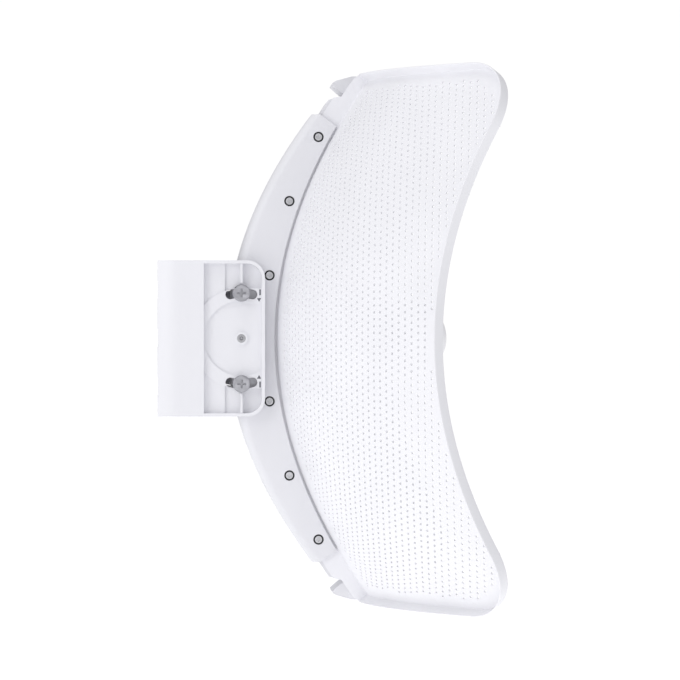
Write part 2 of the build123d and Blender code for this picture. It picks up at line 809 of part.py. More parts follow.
def pivot_pin():
    reach = ring_y - 0.6
    pin = rod_y(pivot_x, 0, pivot_r, -reach, reach)
    for sign in (-1, 1):
        pin -= Pos(pivot_x, sign * reach, 0) * Sphere(1.3)
    return pin


def pivot_bushes():
    bush = rod_y(pivot_x, 0, bush_r, housing_outer_y - bush_length, housing_outer_y)
    bush -= rod_y(pivot_x, 0, pivot_r + running_gap, 0, big)
    return group([bush, mirrored(bush)])


# ---------- tilt bolts ----------
def hexagon(x, z, half_flat, low, high):
    face = Pos(x, z) * RegularPolygon(half_flat, 6, major_radius=False, rotation=30)
    return slab(face, low, high)


def tilt_bolt(z):
    seat = ring_y + 0.05 + washer_thickness + 0.05
    head = hexagon(pivot_x, z, bolt_head_flat, -seat - bolt_head_height, -seat)
    head += rod_y(pivot_x, z, bolt_flange_r, -seat - 1.2, -seat)
    for dx, dz in ((3.0, 0.6), (0.6, 3.0)):
        top = -seat - bolt_head_height
        head -= block(pivot_x - dx, pivot_x + dx, top - 1, top + 1.6, z - dz, z + dz)
    return head + rod_y(pivot_x, z, bolt_r, -seat - 0.5, seat + nut_height + 1.5)


def slot_cover(low, high):
    # curved plate under the upper nut: it hides the slot's rear end at any tilt
    band = Circle(cover_outer_r) - Circle(cover_inner_r)
    front, rear = radians(cover_front_angle), radians(cover_rear_angle)
    reach = 3 * cover_outer_r
    wedge = Polyline(
        (0, 0), (reach * sin(front), reach * cos(front)), (0, 2 * reach), (-reach * sin(rear), reach * cos(rear)), close=True)
    return slab(Pos(pivot_x, 0) * (band & make_face(wedge)), low, high)


def tilt_washers():
    low = ring_y + 0.05
    high = low + washer_thickness
    washer = rod_y(pivot_x, bolt_orbit, washer_r, low, high) - rod_y(pivot_x, bolt_orbit, bolt_r + 0.2, 0, big)
    cover = slot_cover(low, high) - rod_y(pivot_x, bolt_orbit, bolt_r + 0.2, 0, big)
    parts = [mirrored(washer), cover]
    return group(parts + [mirror(part, about=Plane.XY) for part in parts])


def tilt_nuts():
    parts = []
    low = ring_y + 0.05 + washer_thickness + 0.05
    for z in (-bolt_orbit, bolt_orbit):
        nut = hexagon(pivot_x, z, bolt_head_flat, low, low + nut_height)
        nut -= rod_y(pivot_x, z, bolt_r + running_gap, 0, big)
        parts.append(nut)
    return group(parts)


nodes = {
    "pole_bracket": pole_bracket,
    "pivot_pin": pivot_pin,
    "reflector_wing_left": wing,
    "reflector_wing_right": lambda: mirrored(wing()),
    "centre_strip": centre_strip,
    "centre_column": centre_column,
    "rear_housing": rear_housing,
    "housing_screws_left": lambda: housing_screws(1),
    "housing_screws_right": lambda: housing_screws(-1),
    "threaded_inserts": threaded_inserts,
    "pivot_bushes": pivot_bushes,
    "tilt_bolt_upper": lambda: tilt_bolt(bolt_orbit),
    "tilt_bolt_lower": lambda: tilt_bolt(-bolt_orbit),
    "tilt_washers": tilt_washers,
    "tilt_nuts": tilt_nuts,
    "feed_tube": feed_tube,
    "feed_cap": feed_cap,
    "feed_seal": feed_seal,
    "feed_screws": feed_screws,
    "dipole_board": dipole_board,
    "splash_plate": splash_plate,
    "waveguide_tube": waveguide_tube,
    "coax_lines": coax_lines,
    "radio_board": radio_board,
    "rf_shield_can": rf_shield_can,
    "thermal_pad": thermal_pad,
    "heat_spreader": heat_spreader,
    "ethernet_jack": ethernet_jack,
    "reset_switch": reset_switch,
    "reset_button": reset_button,
    "status_light_pipe": status_light_pipe,
    "board_screws": board_screws,
    "port_door": port_door,
    "door_pin": door_pin,
    "door_gasket": door_gasket,
    "cable_grommet": cable_grommet,
}

os.makedirs("parts", exist_ok=True)
for name, make in nodes.items():
    shape = make()
    export_step(shape, "parts/" + name + ".step")
    print(name, len(shape.solids()), round(shape.volume, 1))
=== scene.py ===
import bpy
import bmesh
import json
import math
import numpy as np
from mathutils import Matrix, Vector

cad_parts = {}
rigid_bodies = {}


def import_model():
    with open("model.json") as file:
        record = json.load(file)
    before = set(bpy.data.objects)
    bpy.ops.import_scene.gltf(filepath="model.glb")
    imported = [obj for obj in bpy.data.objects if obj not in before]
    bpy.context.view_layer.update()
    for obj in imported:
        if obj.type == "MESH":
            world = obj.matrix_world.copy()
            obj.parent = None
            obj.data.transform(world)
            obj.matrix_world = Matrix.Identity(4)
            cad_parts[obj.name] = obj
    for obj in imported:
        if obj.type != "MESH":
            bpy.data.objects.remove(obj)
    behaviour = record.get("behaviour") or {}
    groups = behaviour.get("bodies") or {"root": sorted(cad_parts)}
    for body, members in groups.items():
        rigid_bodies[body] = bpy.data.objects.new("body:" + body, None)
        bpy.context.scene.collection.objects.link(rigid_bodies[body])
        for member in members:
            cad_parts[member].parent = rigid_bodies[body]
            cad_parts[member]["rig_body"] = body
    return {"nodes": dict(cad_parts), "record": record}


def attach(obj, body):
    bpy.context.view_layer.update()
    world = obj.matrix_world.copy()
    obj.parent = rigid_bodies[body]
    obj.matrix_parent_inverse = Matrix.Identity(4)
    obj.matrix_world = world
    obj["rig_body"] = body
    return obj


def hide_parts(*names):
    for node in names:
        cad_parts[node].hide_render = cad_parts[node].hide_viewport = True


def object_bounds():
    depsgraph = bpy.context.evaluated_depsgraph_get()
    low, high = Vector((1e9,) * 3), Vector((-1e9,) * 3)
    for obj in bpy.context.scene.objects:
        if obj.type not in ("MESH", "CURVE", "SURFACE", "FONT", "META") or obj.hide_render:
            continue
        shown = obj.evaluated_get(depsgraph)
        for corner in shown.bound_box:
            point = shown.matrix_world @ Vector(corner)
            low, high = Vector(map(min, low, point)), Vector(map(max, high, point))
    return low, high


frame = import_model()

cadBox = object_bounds()
nodes = frame["nodes"]
print("frame loaded:", len(nodes), "nodes")

# ---- camera, lights and floor ----
viewing = {
    "target": (0.1327, 0.0, -0.0014),
    "azimuth": -3.5,      # degrees round from the right-hand side, towards the back
    "elevation": 0.4,
    "distance": 2.17,
    "lens": 164.1,
}


def makeCamera():
    # the camera stands at target + distance * (sin a cos e, -cos a cos e, sin e)
    a, e = math.radians(viewing["azimuth"]), math.radians(viewing["elevation"])
    away = Vector((math.sin(a) * math.cos(e), -math.cos(a) * math.cos(e), math.sin(e)))
    data = bpy.data.cameras.new("camera")
    data.lens = viewing["lens"]
    data.clip_start, data.clip_end = 0.05, 60
    camera = bpy.data.objects.new("camera", data)
    bpy.context.scene.collection.objects.link(camera)
    camera.location = Vector(viewing["target"]) + away * viewing["distance"]
    camera.rotation_mode = "QUATERNION"
    camera.rotation_quaternion = (-away).to_track_quat("-Z", "Y")
    bpy.context.scene.camera = camera


studio = {
    "world": (0.57, 0.57, 0.58),
    "backdrop": (1.02, 1.02, 1.02),     # what the camera sees of the world
    "floorDrop": 0.13,       # floor below the dish's lowest point
    "floorSize": 30.0,
    "floorColour": (0.93, 0.93, 0.935),
    "floorGlow": 0.52,       # keeps the floor white to the horizon
    "lamps": {               # place, aim, side length, watts
        "overhead": ((-0.4, -0.7, 2.2), (0.1, 0, 0), 1.2, 11.0),
        "side": ((-2.0, -2.0, 1.1), (0.1, 0, 0), 1.2, 16.5),
    },
}


def makeStudio():
    scene = bpy.context.scene
    scene.view_settings.view_transform = "Standard"
    world = bpy.data.worlds.new("studio")
    scene.world = world
    world.use_nodes = True
    tree = world.node_tree
    background = tree.nodes["Background"]
    paths = tree.nodes.new("ShaderNodeLightPath")
    seen = tree.nodes.new("ShaderNodeMix")
    seen.data_type = "RGBA"
    seen.inputs[6].default_value = (*studio["world"], 1)
    seen.inputs[7].default_value = (*studio["backdrop"], 1)
    tree.links.new(paths.outputs["Is Camera Ray"], seen.inputs[0])
    tree.links.new(seen.outputs[2], background.inputs["Color"])
    for name, (place, aim, size, watts) in studio["lamps"].items():
        lamp = bpy.data.lights.new(name, "AREA")
        lamp.shape, lamp.size, lamp.energy = "SQUARE", size, watts
        holder = bpy.data.objects.new(name, lamp)
        scene.collection.objects.link(holder)
        holder.location = place
        holder.rotation_mode = "QUATERNION"
        holder.rotation_quaternion = (Vector(aim) - Vector(place)).to_track_quat("-Z", "Y")
    half, z = studio["floorSize"] / 2, cadBox[0].z - studio["floorDrop"]
    mesh = bpy.data.meshes.new("floor")
    corners = [(-half, -half, z), (half, -half, z), (half, half, z), (-half, half, z)]
    mesh.from_pydata(corners, [], [(0, 1, 2, 3)])
    floor = bpy.data.objects.new("floor", mesh)
    scene.collection.objects.link(floor)
    paint = bpy.data.materials.new("floorPaint")
    paint.use_nodes = True
    shader = paint.node_tree.nodes["Principled BSDF"]
    shader.inputs["Base Color"].default_value = (*studio["floorColour"], 1)
    shader.inputs["Roughness"].default_value = 0.9
    shader.inputs["Emission Color"].default_value = (1, 1, 1, 1)
    shader.inputs["Emission Strength"].default_value = studio["floorGlow"]
    mesh.materials.append(paint)


makeCamera()
makeStudio()
print("camera and studio ready")


# ---- shader sums ----
class Wire:
    # a node's output that can be used in plain sums
    def __init__(self, finish, socket):
        self.finish, self.socket = finish, socket

    def sum(self, operation, first, second):
        return self.finish.node("ShaderNodeMath", {"operation": operation}, {0: first, 1: second})

    def __add__(self, other): return self.sum("ADD", self, other)
    def __radd__(self, other): return self.sum("ADD", other, self)
    def __sub__(self, other): return self.sum("SUBTRACT", self, other)
    def __rsub__(self, other): return self.sum("SUBTRACT", other, self)
    def __mul__(self, other): return self.sum("MULTIPLY", self, other)
    def __rmul__(self, other): return self.sum("MULTIPLY", other, self)

    def sharp(self, low, high):
        # 0 below low, 1 above high
        sockets = {0: self, 1: low, 2: high, 3: 0.0, 4: 1.0}
        return self.finish.node("ShaderNodeMapRange", {"clamp": True}, sockets)


class Finish:
    # a material under construction
    def __init__(self, name, colour, **constants):
        self.material = bpy.data.materials.new(name)
        self.material.use_nodes = True
        self.tree = self.material.node_tree
        self.shader = self.tree.nodes["Principled BSDF"]
        self.colour = colour
        self.shader.inputs["Base Color"].default_value = (*colour, 1)
        for key, value in constants.items():
            self.shader.inputs[key.replace("_", " ")].default_value = value

    def node(self, kind, settings=None, sockets=None, out=0):
        made = self.tree.nodes.new(kind)
        for key, value in (settings or {}).items():
            setattr(made, key, value)
        for key, value in (sockets or {}).items():
            if isinstance(value, Wire):
                self.tree.links.new(value.socket, made.inputs[key])
            else:
                made.inputs[key].default_value = value
        return Wire(self, made.outputs[out])

    def place(self, scale=(1, 1, 1), turn=(0, 0, 0), shift=(0, 0, 0)):
        # object coordinates, moved, turned and scaled
        spot = self.node("ShaderNodeTexCoord", out=3)
        sockets = {"Vector": spot, "Location": shift, "Rotation": turn, "Scale": scale}
        return self.node("ShaderNodeMapping", None, sockets)

    def noise(self, size, detail=2.0, rough=0.5, stretch=(1, 1, 1), turn=(0, 0, 0)):
        # cloud noise whose lumps are about size metres across
        where = self.place(stretch, turn)
        sockets = {"Vector": where, "Scale": 1 / size, "Detail": detail, "Roughness": rough}
        return self.node("ShaderNodeTexNoise", None, sockets)

    def tint(self, factor, first, second):
        # a mix of two colours, each a wire or three numbers
        one, two = (c if isinstance(c, Wire) else (*c, 1) for c in (first, second))
        sockets = {0: factor, 6: one, 7: two}
        return self.node("ShaderNodeMix", {"data_type": "RGBA"}, sockets, out=2)

    def feed(self, socket, wire):
        self.tree.links.new(wire.socket, self.shader.inputs[socket])

    def bump(self, *layers):
        # each layer is (height wire, its depth in metres, strength)
        below = None
        for height, depth, strength in layers:
            sockets = {"Height": height, "Distance": depth, "Strength": strength}
            if below:
                sockets["Normal"] = below
            below = self.node("ShaderNodeBump", None, sockets)
        self.feed("Normal", below)


def shade(colour, factor):
    return tuple(min(1.0, c * factor) for c in colour)


# powder coat: fine orange peel, faint cloudy tone, and a little dust
powderCoat = {"colour": (0.835, 0.835, 0.868), "peel": 0.0016, "cloud": 0.055, "roughness": 0.44}


def makePowderCoat(name):
    finish = Finish(name, powderCoat["colour"], Roughness=powderCoat["roughness"], IOR=1.5)
    cloud = finish.noise(powderCoat["cloud"], 4)
    specks = finish.noise(0.0011, 1).sharp(0.70, 0.76)
    pale, deep = shade(powderCoat["colour"], 1.012), shade(powderCoat["colour"], 0.972)
    colour = finish.tint(cloud.sharp(0.3, 0.7), deep, pale)
    finish.feed("Base Color", finish.tint(specks * 0.10, colour, shade(powderCoat["colour"], 0.82)))
    finish.feed("Roughness", cloud * 0.10 + (powderCoat["roughness"] - 0.05))
    peel = finish.noise(powderCoat["peel"], 2)
    grit = finish.noise(0.00035, 1)
    finish.bump((peel, 0.00005, 0.35), (grit, 0.00001, 0.4))
    return finish.material


# moulded plastic: a fine spark-eroded grain, and slow shrink and flow marks
mouldings = {
    "spine": {"colour": (0.745, 0.745, 0.778), "grain": 0.00042, "roughness": 0.50},
    "bracket": {"colour": (0.800, 0.800, 0.834), "grain": 0.00050, "roughness": 0.46},
    "feed": {"colour": (0.830, 0.830, 0.855), "grain": 0.00035, "roughness": 0.42},
}


def makeMoulding(name, kind):
    given = mouldings[kind]
    finish = Finish(name, given["colour"], Roughness=given["roughness"], IOR=1.46)
    flow = finish.noise(0.03, 3, 0.55, (1, 1, 0.35))
    grain = finish.noise(given["grain"], 2, 0.6)
    tone = finish.tint(flow.sharp(0.25, 0.75), shade(given["colour"], 0.982), shade(given["colour"], 1.010))
    finish.feed("Base Color", finish.tint(grain.sharp(0.55, 0.8) * 0.12, tone, shade(given["colour"], 0.9)))
    finish.feed("Roughness", grain * 0.16 + flow * 0.06 + (given["roughness"] - 0.11))
    finish.bump((flow, 0.0003, 0.05), (grain, 0.00003, 0.45))
    return finish.material


# plated steel: turning marks, cloudy plating and small scuffs
platings = {
    "screw": {"colour": (0.62, 0.62, 0.64), "roughness": 0.42},
    "bolt": {"colour": (0.45, 0.45, 0.48), "roughness": 0.42},
    "pin": {"colour": (0.50, 0.50, 0.52), "roughness": 0.30},
}


def makePlating(name, kind):
    given = platings[kind]
    finish = Finish(name, given["colour"], Metallic=0.85, Roughness=given["roughness"])
    cloud = finish.noise(0.004, 4)
    lines = finish.noise(0.00018, 2, 0.6, (1, 0.08, 0.25), (0, 0.6, 0))
    scuffs = finish.noise(0.0009, 5, 0.8).sharp(0.62, 0.75)
    tone = finish.tint(cloud.sharp(0.3, 0.7), shade(given["colour"], 0.88), shade(given["colour"], 1.12))
    finish.feed("Base Color", finish.tint(scuffs * 0.35, tone, shade(given["colour"], 1.35)))
    finish.feed("Roughness", cloud * 0.18 + lines * 0.12 + (given["roughness"] - 0.15))
    finish.bump((lines, 0.00001, 0.3), (scuffs, 0.00001, 0.25))
    return finish.material


# small stock materials for what sits inside
stock = {     # name: colour, metal, roughness, grain size, grain depth
    "insertBrass": ((0.60, 0.43, 0.18), 1.0, 0.32, 0.0006, 0.00001),
    "bareAluminium": ((0.66, 0.66, 0.68), 1.0, 0.38, 0.0008, 0.00001),
    "shieldTin": ((0.62, 0.62, 0.61), 1.0, 0.28, 0.003, 0.00002),
    "acetal": ((0.80, 0.79, 0.74), 0.0, 0.35, 0.0009, 0.00001),
    # black rubber for the real seals, and also the colour of the painted shade rings at the bottom of the
    # screw counterbores
    "sealRubberAndShade": ((0.030, 0.030, 0.032), 0.0, 0.72, 0.0005, 0.00003),
    "greyRubber": ((0.30, 0.30, 0.315), 0.0, 0.68, 0.0006, 0.00003),
    "padSilicone": ((0.34, 0.39, 0.46), 0.0, 0.60, 0.0011, 0.00004),
    "blackMoulding": ((0.018, 0.018, 0.020), 0.0, 0.38, 0.0004, 0.00001),
    "greyMoulding": ((0.50, 0.50, 0.52), 0.0, 0.40, 0.0004, 0.00001),
    "clearAcrylic": ((0.80, 0.85, 0.88), 0.0, 0.12, 0.004, 0.00001),
}


def makeStock(name):
    colour, metal, roughness, size, depth = stock[name]
    finish = Finish(name, colour, Metallic=metal, Roughness=roughness)
    cloud = finish.noise(size * 14, 4)
    grain = finish.noise(size, 3, 0.6)
    tone = finish.tint(cloud.sharp(0.25, 0.75), shade(colour, 0.86), shade(colour, 1.08))
    finish.feed("Base Color", finish.tint(grain.sharp(0.5, 0.8) * 0.3, tone, shade(colour, 1.25)))
    finish.feed("Roughness", cloud * 0.12 + grain * 0.12 + (roughness - 0.12))
    finish.bump((cloud, depth * 4, 0.2), (grain, depth, 0.5))
    return finish.material


# circuit laminate: solder mask over copper tracks, drawn by a voronoi web, with tinned pads
laminate = {"mask": (0.020, 0.110, 0.055), "track": (0.045, 0.190, 0.095), "pad": (0.62, 0.60, 0.55)}


def makeLaminate(name):
    finish = Finish(name, laminate["mask"], Roughness=0.34, IOR=1.5)
    where = finish.place()
    web = {"feature": "DISTANCE_TO_EDGE", "distance": "EUCLIDEAN"}
    cells = finish.node("ShaderNodeTexVoronoi", web, {"Vector": where, "Scale": 330})
    tracks = 1 - cells.sharp(0.10, 0.14)
    dots = finish.node("ShaderNodeTexVoronoi", {"feature": "F1"}, {"Vector": where, "Scale": 210})
    pads = 1 - dots.sharp(0.16, 0.20)
    tone = finish.tint(tracks * 0.8, laminate["mask"], laminate["track"])
    finish.feed("Base Color", finish.tint(pads, tone, laminate["pad"]))
    finish.feed("Metallic", pads * 0.9)
    finish.feed("Roughness", finish.noise(0.003, 3) * 0.15 + 0.28)
    finish.bump((tracks, 0.00003, 0.6), (pads, 0.00004, 0.6))
    return finish.material


inkTone = {"colour": (0.105, 0.108, 0.125), "roughness": 0.6}


def makeInk(name):
    finish = Finish(name, inkTone["colour"], Roughness=inkTone["roughness"])
    worn = finish.noise(0.0007, 4, 0.7).sharp(0.35, 0.75)
    finish.feed("Base Color", finish.tint(worn * 0.5, inkTone["colour"], shade(inkTone["colour"], 2.6)))
    finish.feed("Roughness", worn * 0.2 + 0.5)
    finish.bump((worn, 0.00001, 0.3))
    return finish.material


finishes = {
    "powder": makePowderCoat("powderCoat"),
    "spine": makeMoulding("spineMoulding", "spine"),
    "bracket": makeMoulding("bracketMoulding", "bracket"),
    "feed": makeMoulding("feedMoulding", "feed"),
    "screw": makePlating("screwPlating", "screw"),
    "bolt": makePlating("boltPlating", "bolt"),
    "pin": makePlating("pinSteel", "pin"),
    "laminate": makeLaminate("laminate"),
    "ink": makeInk("markInk"),
}
for stockName in stock:
    finishes[stockName] = makeStock(stockName)

finishOfSlot = {
    "wing_paint": "powder", "spine_plastic": "spine", "bracket_plastic": "bracket", "feed_plastic": "feed",
    "cap_plastic": "feed", "screw_steel": "screw", "bolt_steel": "bolt", "pin_steel": "pin",
    "insert_brass": "insertBrass", "coax_brass": "insertBrass", "bush_plastic": "acetal",
    "seal_rubber": "sealRubberAndShade", "grommet_rubber": "greyRubber", "pad_silicone": "padSilicone",
    "board_laminate": "laminate", "bare_aluminium": "bareAluminium", "shield_tin": "shieldTin",
    "jack_plastic": "blackMoulding", "button_plastic": "greyMoulding", "light_pipe": "clearAcrylic",
}
slotOf = {entry["node"]: entry["material_slot"] for entry in frame["record"]["subparts"]}
for nodeName, node in nodes.items():
    node.data.materials.clear()
    node.data.materials.append(finishes[finishOfSlot[slotOf[nodeName]]])
print("finishes made:", len(finishes))


# ---- meshes from arrays ----
sharpFrom = math.radians(38)     # edges that turn more than this stay sharp


def addPiece(name, points, faces, finishName, slotName, body, standsFor=()):
    mesh = bpy.data.meshes.new(name)
    mesh.from_pydata(points.tolist(), [], faces if isinstance(faces, list) else faces.tolist())
    mesh.validate()
    piece = bpy.data.objects.new(name, mesh)
    bpy.context.scene.collection.objects.link(piece)
    mesh.shade_smooth()
    mesh.set_sharp_from_angle(angle=sharpFrom)
    mesh.materials.append(finishes[finishName])
    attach(piece, body)
    if standsFor:
        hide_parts(*standsFor)
    return piece


def gridFaces(rows, columns, closeRows=False, closeColumns=False):
    # quads of a grid of rows x columns points; a closed direction joins its end to its start
    r = np.arange(rows if closeRows else rows - 1)[:, None]
    c = np.arange(columns if closeColumns else columns - 1)[None, :]
    r2, c2 = (r + 1) % rows, (c + 1) % columns
    quads = np.stack([r * columns + c, r * columns + c2, r2 * columns + c2, r2 * columns + c], -1)
    return quads.reshape(-1, 4)


def weld(meshParts):
    # several (points, faces) sets put one after another
    points, faces, start = [], [], 0
    for somePoints, someFaces in meshParts:
        points.append(somePoints)
        rows = someFaces.tolist() if hasattr(someFaces, "tolist") else someFaces
        faces += [[i + start for i in row] for row in rows]
        start += len(somePoints)
    return np.concatenate(points), faces


def faceOutwards(piece, merge=0.0):
    # doubles closer than merge joined, then every face turned outwards
    bm = bmesh.new()
    bm.from_mesh(piece.data)
    if merge:
        bmesh.ops.remove_doubles(bm, verts=bm.verts, dist=merge)
    bmesh.ops.recalc_face_normals(bm, faces=bm.faces)
    bm.to_mesh(piece.data)
    bm.free()


# ---- the wings ----
dish = {
    "fourF": 0.500,           # the dish is x = vertex + (y2 + z2) / fourF
    "vertex": 0.086,
    "innerY": 0.0316,         # where the rim's path starts, beside the flange
    "rimFrom": 0.031,         # the rim's slope is measured from here
    "outerY": 0.2220,         # where the rim bends to the rear
    "topInner": 0.1776,       # the same beside the spine
    "topOuter": 0.1730,       # the same at the corner
    "cornerR": 0.042,
    "sheet": 0.0010,
}
holes = {
    "firstY": 0.0620,         # ring 0 at mid height; one more lies inside it
    "centreBack": 0.035,      # the rings' centre lies this far across the dish's middle
    "acrossPitch": 0.00608,
    "upPitch": 0.00443,
    "rings": range(-1, 40),
    "radius": 0.00100,
    "band": 7,                # rings in a band; the stagger starts again in each
    "innerLines": 14,         # half cells between the first ring and the spine
    "reach": 0.235,           # lattice's length along a ring, each way
    "plainRim": 0.0018,       # cells nearer than this to the rim's bend are left to the lip
    "plainSpine": 0.0035,     # and to the flange
    "rimGap": 0.0077,         # nearest hole to the rim's bend
    "spineGap": 0.0530,       # nearest hole to the dish's middle
}


def arcLength(y):
    # length along x = y2 / fourF from its vertex to y
    k = 2 / dish["fourF"]
    return y / 2 * np.sqrt(1 + (k * y) ** 2) + np.arcsinh(k * y) / (2 * k)


reachTable = np.linspace(-0.29, 0.29, 4001)
arcTable = arcLength(reachTable)


def fromArc(s):
    return np.interp(s, arcTable, reachTable)


def rimSlope():
    return (dish["topOuter"] - dish["topInner"]) / (dish["outerY"] - dish["rimFrom"])


def rimDistance(y, z):
    # how far inside the rim's outline (y, z) is: the least of side, top and corner distances
    slope = rimSlope()
    lean = math.sqrt(1 + slope * slope)
    side = dish["outerY"] - y
    top = (dish["topInner"] + slope * (y - dish["rimFrom"]) - np.abs(z)) / lean
    cy = dish["outerY"] - dish["cornerR"]
    cz = dish["topInner"] + slope * (cy - dish["rimFrom"]) - dish["cornerR"] * lean
    corner = dish["cornerR"] - np.hypot(y - cy, np.abs(z) - cz)
    inCorner = (y > cy) & (np.abs(z) > cz)
    return np.where(inCorner, corner, np.minimum(side, top))


def onDish(y, z, behind=0.0):
    # a point on the dish, moved to the rear square to it
    f = dish["fourF"]
    normal = np.stack([-np.ones_like(y), 2 * y / f, 2 * z / f], -1)
    normal /= np.linalg.norm(normal, axis=-1, keepdims=True)
    return np.stack([dish["vertex"] + (y * y + z * z) / f, y, z], -1) + normal * np.asarray(behind)[..., None]


def thicken(front, back, faces):
    # a front and a back sheet with the same faces, closed by walls along every open edge
    count = len(front)
    edges = np.concatenate([faces[:, [i, (i + 1) % 4]] for i in range(4)])
    key = np.sort(edges, 1)
    code = key[:, 0].astype(np.int64) * (count + 1) + key[:, 1]
    unique, first, times = np.unique(code, return_index=True, return_counts=True)
    rim = edges[first[times == 1]]
    walls = np.stack([rim[:, 1], rim[:, 0], rim[:, 0] + count, rim[:, 1] + count], -1)
    return np.concatenate([front, back]), np.concatenate([faces, faces[:, ::-1] + count, walls])


def onRings(u, v):
    # lattice to (y, z): u is the ring's arc length at mid height, v the length along the ring
    r = fromArc(u) + holes["centreBack"]
    return r * np.cos(v / r) - holes["centreBack"], r * np.sin(v / r)


def panelFaces():
    # lattice lines sit on the edges and middles of the hole cells; a holed cell is a ring of eight quads
    pitch, rise = holes["acrossPitch"], holes["upPitch"]
    middles = float(arcLength(holes["firstY"])) + pitch * np.array(list(holes["rings"]))
    inner = middles[0] - pitch / 2 - pitch / 2 * np.arange(1, holes["innerLines"])[::-1]
    across = np.sort(np.concatenate([inner, middles - pitch / 2, middles, [middles[-1] + pitch / 2]]))
    halfRows = int(holes["reach"] / (rise / 2))
    up = np.arange(-halfRows, halfRows + 1) * rise / 2
    gridU, gridV = np.meshgrid(across, up, indexing="ij")
    holeA, holeB = [], []
    for order, middle in zip(holes["rings"], middles):
        b = np.arange(1, len(up) - 1)
        b = b[(b - halfRows) % 2 == (order % holes["band"]) % 2]
        y, z = onRings(np.full(len(b), middle), up[b])
        b = b[(rimDistance(y, z) > holes["rimGap"]) & (y > holes["spineGap"])]
        holeA.append(np.full(len(b), int(np.argmin(np.abs(across - middle)))))
        holeB.append(b)
    a, b = np.concatenate(holeA), np.concatenate(holeB)
    columns = len(up)
    taken = np.zeros((len(across) - 1, columns - 1), bool)
    for da, db in ((-1, -1), (-1, 0), (0, -1), (0, 0)):
        taken[a + da, b + db] = True
    midU, midV = np.meshgrid((across[:-1] + across[1:]) / 2, (up[:-1] + up[1:]) / 2, indexing="ij")
    midY, midZ = onRings(midU, midV)
    inside = (rimDistance(midY, midZ) > holes["plainRim"]) & (midY > dish["innerY"] + holes["plainSpine"])
    r, c = np.nonzero(inside & ~taken)
    low, high = r * columns + c, (r + 1) * columns + c
    plain = np.stack([low, high, high + 1, low + 1], -1)
    around = [(-1, -1), (0, -1), (1, -1), (1, 0), (1, 1), (0, 1), (-1, 1), (-1, 0)]
    ring = np.stack([(a + da) * columns + b + db for da, db in around], -1)
    turn = np.radians(np.array([225, 270, 315, 0, 45, 90, 135, 180]))
    holeU = across[a][:, None] + holes["radius"] * np.cos(turn)[None, :]
    holeV = up[b][:, None] + holes["radius"] * np.sin(turn)[None, :]
    edge = gridU.size + np.arange(holeU.size).reshape(holeU.shape)
    nextRing, nextEdge = np.roll(ring, -1, 1), np.roll(edge, -1, 1)
    holed = np.stack([ring, nextRing, nextEdge, edge], -1).reshape(-1, 4)
    u = np.concatenate([gridU.ravel(), holeU.ravel()])
    v = np.concatenate([gridV.ravel(), holeV.ravel()])
    used, faces = np.unique(np.concatenate([plain, holed]), return_inverse=True)
    y, z = onRings(u[used], v[used])
    return y, z, faces.reshape(-1, 4), len(a)


lip = {
    "depth": 0.0086,
    "bend": 0.0014,           # outer radius
    "overlap": 0.0056,        # how far its strip covers the panel
    "proud": 0.00003,
    "start": 0.0004,          # end inside the flange
    "edgeSteps": 40,
    "cornerSteps": 24,
    "sideSteps": 70,
}


def rimPath():
    # the outline from the spine along the top, down the side and back, with its outward normal
    slope = rimSlope()
    lean = math.sqrt(1 + slope * slope)
    cy = dish["outerY"] - dish["cornerR"]
    cz = dish["topInner"] + slope * (cy - dish["rimFrom"]) - dish["cornerR"] * lean
    topTurn = math.atan2(1 / lean, -slope / lean)
    along = np.linspace(dish["innerY"] - lip["start"], cy, lip["edgeSteps"])[:-1]
    topZ = dish["topInner"] + slope * (along - dish["rimFrom"])
    turn = np.linspace(topTurn, 0, lip["cornerSteps"])
    arcY, arcZ = cy + dish["cornerR"] * np.cos(turn), cz + dish["cornerR"] * np.sin(turn)
    sideZ = np.linspace(cz, -cz, lip["sideSteps"])[1:-1]
    flat = np.full(len(along), topTurn)
    y = np.concatenate([along, arcY, np.full(len(sideZ), dish["outerY"]), arcY[::-1], along[::-1]])
    z = np.concatenate([topZ, arcZ, sideZ, -arcZ[::-1], -topZ[::-1]])
    facing = np.concatenate([flat, turn, np.zeros(len(sideZ)), -turn[::-1], -flat[::-1]])
    return y, z, np.cos(facing), np.sin(facing)


def lipSection():
    # the rim's section: (distance in from the bend, depth behind the dish's face)
    sheet, bend, depth, proud = dish["sheet"], lip["bend"], lip["depth"], lip["proud"]
    a, half = np.linspace(0, math.pi / 2, 6), sheet / 2
    tip = np.linspace(0, math.pi, 7)
    front = [[lip["overlap"], -proud], [lip["overlap"] * 0.6, -proud]]
    outerBend = np.stack([bend - bend * np.sin(a), bend - bend * np.cos(a)], -1)
    end = np.stack([half - half * np.cos(tip), depth - half + half * np.sin(tip)], -1)
    innerBend = np.stack([bend - (bend - sheet) * np.sin(a), bend - (bend - sheet) * np.cos(a)], -1)[::-1]
    back = [[lip["overlap"] * 0.6, sheet + proud], [lip["overlap"], sheet + proud]]
    middle = depth * 0.5
    return np.concatenate([front, outerBend, [[0, middle]], end, [[sheet, middle]], innerBend, back])


def lipMesh():
    y, z, ny, nz = rimPath()
    section = lipSection()
    stretch = np.sqrt(1 + (2 * (y * ny + z * nz) / dish["fourF"]) ** 2)
    inward = section[:, 0][None, :] / stretch[:, None]
    pathY = y[:, None] - inward * ny[:, None]
    pathZ = z[:, None] - inward * nz[:, None]
    points = onDish(pathY, pathZ, np.broadcast_to(section[:, 1], pathY.shape)).reshape(-1, 3)
    rows, columns = len(y), len(section)
    faces = gridFaces(rows, columns, False, True).tolist()
    faces.append(list(range(columns))[::-1])
    faces.append([(rows - 1) * columns + i for i in range(columns)])
    return points, faces


